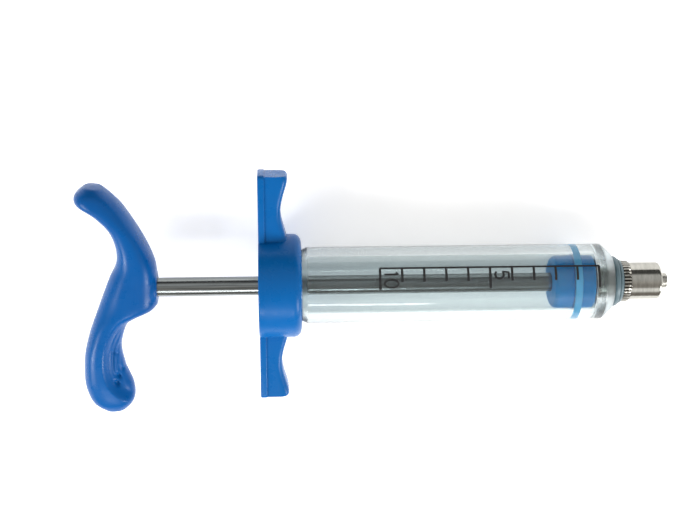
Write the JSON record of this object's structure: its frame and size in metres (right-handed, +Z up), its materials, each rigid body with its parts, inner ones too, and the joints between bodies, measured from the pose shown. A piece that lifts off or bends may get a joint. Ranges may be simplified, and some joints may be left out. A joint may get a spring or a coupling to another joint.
{
  "type": "reusable hand syringe",
  "caption": "Hand syringe with a clear graduated barrel, screw cap with finger wings, sliding piston rod with a palm handle and a threaded metal Luer-lock nozzle.",
  "frame": {"origin": "centre of the Luer cone's tip", "axes": "+X along the barrel axis and out of the nozzle, finger wings along Y, +Z up"},
  "size_m": [0.1542, 0.0645, 0.027],
  "materials": {
    "clear_plastic": "clear moulded plastic",
    "clear_silicone": "translucent",
    "nickel_brass": "nickel plated",
    "blue_plastic": "moulded, semi-gloss",
    "white_plastic": "satin",
    "steel": "drawn",
    "brass_insert": "turned",
    "blue_silicone": "satin"
  },
  "bodies": {
    "barrel": {"barrel": "clear_plastic", "port_insert": "nickel_brass"},
    "front_seal": {"front_gasket": "clear_silicone"},
    "nozzle": {"nozzle_body": "nickel_brass", "lock_collar": "nickel_brass"},
    "cap_seal": {"cap_gasket": "clear_silicone"},
    "cap": {"finger_grip_cap": "blue_plastic", "rod_guide_bush": "white_plastic"},
    "piston_seal": {"piston_seal_ring": "blue_silicone"},
    "plunger": {"plunger_rod": "steel", "piston_rear_land": "blue_plastic", "piston_front_land": "blue_plastic", "piston_insert": "brass_insert", "thumb_handle": "blue_plastic", "handle_insert": "brass_insert"}
  },
  "joints": [
    {"name": "plunger_slide", "type": "slide", "parent": "barrel", "child": "piston_seal", "axis": [-1, 0, 0], "range_m": [0, 0.07]},
    {"name": "plunger_turn", "type": "hinge", "parent": "piston_seal", "child": "plunger", "pos_m": [-0.025, 0, 0], "axis": [1, 0, 0], "continuous": true},
    {"name": "nozzle_advance", "type": "slide", "parent": "barrel", "child": "front_seal", "axis": [1, 0, 0], "range_m": [0, 0.005]},
    {"name": "nozzle_turn", "type": "hinge", "parent": "front_seal", "child": "nozzle", "pos_m": [-0.014, 0, 0], "axis": [1, 0, 0], "range_deg": [0, 1810]},
    {"name": "cap_advance", "type": "slide", "parent": "barrel", "child": "cap_seal", "axis": [-1, 0, 0], "range_m": [0, 0.007]},
    {"name": "cap_turn", "type": "hinge", "parent": "cap_seal", "child": "cap", "pos_m": [-0.1, 0, 0], "axis": [-1, 0, 0], "range_deg": [0, 1270]}
  ],
  "couplings": [
    {"joint": "nozzle_turn", "follows": "nozzle_advance", "rad_per_m": 6283.2},
    {"joint": "cap_turn", "follows": "cap_advance", "rad_per_m": 3141.6}
  ]
}
